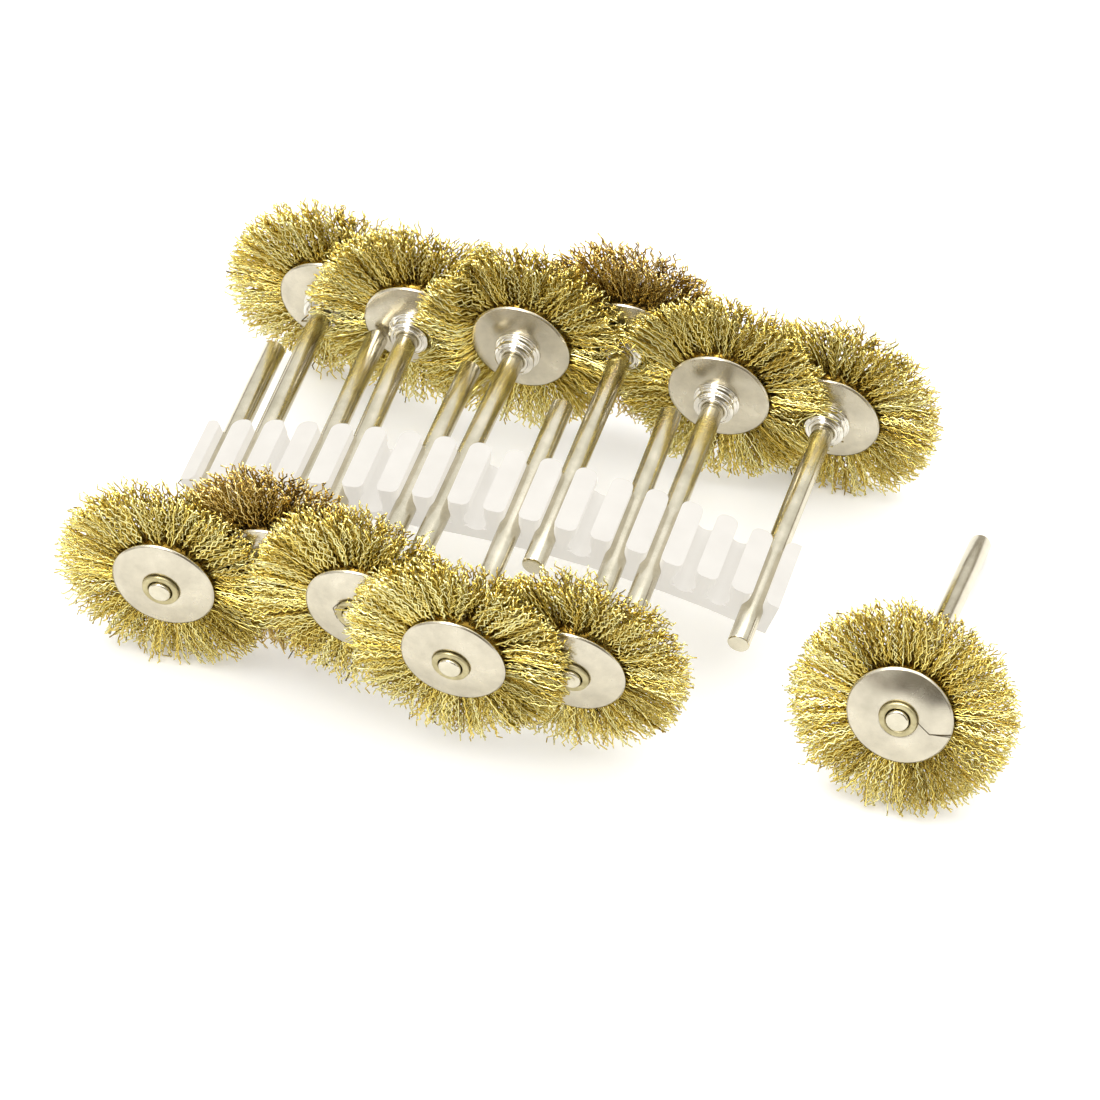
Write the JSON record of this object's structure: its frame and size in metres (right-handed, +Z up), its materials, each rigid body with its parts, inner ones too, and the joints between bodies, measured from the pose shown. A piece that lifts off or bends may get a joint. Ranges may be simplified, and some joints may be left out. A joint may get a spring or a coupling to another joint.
{
  "type": "wire wheel brush set",
  "caption": "Bowed comb rack holding wire wheel brushes on straight mandrels, head to tail in its slots, with one more brush lying beside it.",
  "frame": {"origin": "middle of the rack's centre slot, on the axis of its round seat", "axes": "+X along the rack towards the loose brush, +Y along the mandrels away from the near heads, +Z up out of the slots"},
  "size_m": [0.0993, 0.0539, 0.0272],
  "materials": {
    "rack_plastic": "translucent milky white, moulded, satin",
    "shank_steel": "nickel-plated steel rod, fine drawn surface",
    "flange_nickel": "pressed nickel-plated sheet, satin with smudges",
    "collar_nickel": "bright turned ferrule",
    "eyelet_brass": "dull rolled eyelet",
    "brass_wire": "bright crimped wire"
  },
  "bodies": {
    "rack": {"rack": "rack_plastic"},
    "brush_01": {"brush_01_shank": "shank_steel", "brush_01_flanges": "flange_nickel", "brush_01_eyelet": "eyelet_brass", "brush_01_collar": "collar_nickel", "brush_01_wires": "brass_wire"},
    "brush_02": {"brush_02_shank": "shank_steel", "brush_02_flanges": "flange_nickel", "brush_02_eyelet": "eyelet_brass", "brush_02_collar": "collar_nickel", "brush_02_wires": "brass_wire"},
    "brush_03": {"brush_03_shank": "shank_steel", "brush_03_flanges": "flange_nickel", "brush_03_eyelet": "eyelet_brass", "brush_03_collar": "collar_nickel", "brush_03_wires": "brass_wire"},
    "brush_04": {"brush_04_shank": "shank_steel", "brush_04_flanges": "flange_nickel", "brush_04_eyelet": "eyelet_brass", "brush_04_collar": "collar_nickel", "brush_04_wires": "brass_wire"},
    "brush_05": {"brush_05_shank": "shank_steel", "brush_05_flanges": "flange_nickel", "brush_05_eyelet": "eyelet_brass", "brush_05_collar": "collar_nickel", "brush_05_wires": "brass_wire"},
    "brush_06": {"brush_06_shank": "shank_steel", "brush_06_flanges": "flange_nickel", "brush_06_eyelet": "eyelet_brass", "brush_06_collar": "collar_nickel", "brush_06_wires": "brass_wire"},
    "brush_07": {"brush_07_shank": "shank_steel", "brush_07_flanges": "flange_nickel", "brush_07_eyelet": "eyelet_brass", "brush_07_collar": "collar_nickel", "brush_07_wires": "brass_wire"},
    "brush_08": {"brush_08_shank": "shank_steel", "brush_08_flanges": "flange_nickel", "brush_08_eyelet": "eyelet_brass", "brush_08_collar": "collar_nickel", "brush_08_wires": "brass_wire"},
    "brush_09": {"brush_09_shank": "shank_steel", "brush_09_flanges": "flange_nickel", "brush_09_eyelet": "eyelet_brass", "brush_09_collar": "collar_nickel", "brush_09_wires": "brass_wire"},
    "brush_10": {"brush_10_shank": "shank_steel", "brush_10_flanges": "flange_nickel", "brush_10_eyelet": "eyelet_brass", "brush_10_collar": "collar_nickel", "brush_10_wires": "brass_wire"},
    "brush_11": {"brush_11_shank": "shank_steel", "brush_11_flanges": "flange_nickel", "brush_11_eyelet": "eyelet_brass", "brush_11_collar": "collar_nickel", "brush_11_wires": "brass_wire"},
    "brush_12": {"brush_12_shank": "shank_steel", "brush_12_flanges": "flange_nickel", "brush_12_rings": "collar_nickel", "brush_12_wires": "brass_wire"}
  },
  "joints": [
    {"name": "brush_01_lift", "type": "slide", "parent": "rack", "child": "brush_01", "axis": [-0.2969, 0, 0.9549], "range_m": [0, 0.014], "deforming": ["brush_01_wires", "rack"]},
    {"name": "brush_02_lift", "type": "slide", "parent": "rack", "child": "brush_02", "axis": [-0.2607, 0, 0.9654], "range_m": [0, 0.014], "deforming": ["brush_02_wires"]},
    {"name": "brush_03_lift", "type": "slide", "parent": "rack", "child": "brush_03", "axis": [-0.1873, 0, 0.9823], "range_m": [0, 0.014], "deforming": ["brush_03_wires"]},
    {"name": "brush_04_lift", "type": "slide", "parent": "rack", "child": "brush_04", "axis": [-0.1501, 0, 0.9887], "range_m": [0, 0.014], "deforming": ["brush_04_wires"]},
    {"name": "brush_05_lift", "type": "slide", "parent": "rack", "child": "brush_05", "axis": [-0.0753, 0, 0.9972], "range_m": [0, 0.014], "deforming": ["brush_05_wires"]},
    {"name": "brush_06_lift", "type": "slide", "parent": "rack", "child": "brush_06", "axis": [-0.0377, 0, 0.9993], "range_m": [0, 0.014], "deforming": ["brush_06_wires"]},
    {"name": "brush_07_lift", "type": "slide", "parent": "rack", "child": "brush_07", "axis": [0.0377, 0, 0.9993], "range_m": [0, 0.014], "deforming": ["brush_07_wires"]},
    {"name": "brush_08_lift", "type": "slide", "parent": "rack", "child": "brush_08", "axis": [0.0753, 0, 0.9972], "range_m": [0, 0.014], "deforming": ["brush_08_wires"]},
    {"name": "brush_09_lift", "type": "slide", "parent": "rack", "child": "brush_09", "axis": [0.1501, 0, 0.9887], "range_m": [0, 0.014], "deforming": ["brush_09_wires"]},
    {"name": "brush_10_lift", "type": "slide", "parent": "rack", "child": "brush_10", "axis": [0.1873, 0, 0.9823], "range_m": [0, 0.014], "deforming": ["brush_10_wires"]},
    {"name": "brush_11_lift", "type": "slide", "parent": "rack", "child": "brush_11", "axis": [0.2969, 0, 0.9549], "range_m": [0, 0.014], "deforming": ["brush_11_wires"]},
    {"name": "brush_12_lift", "type": "slide", "parent": "rack", "child": "brush_12", "axis": [0, 0, 1], "range_m": [0, 0.014]}
  ]
}
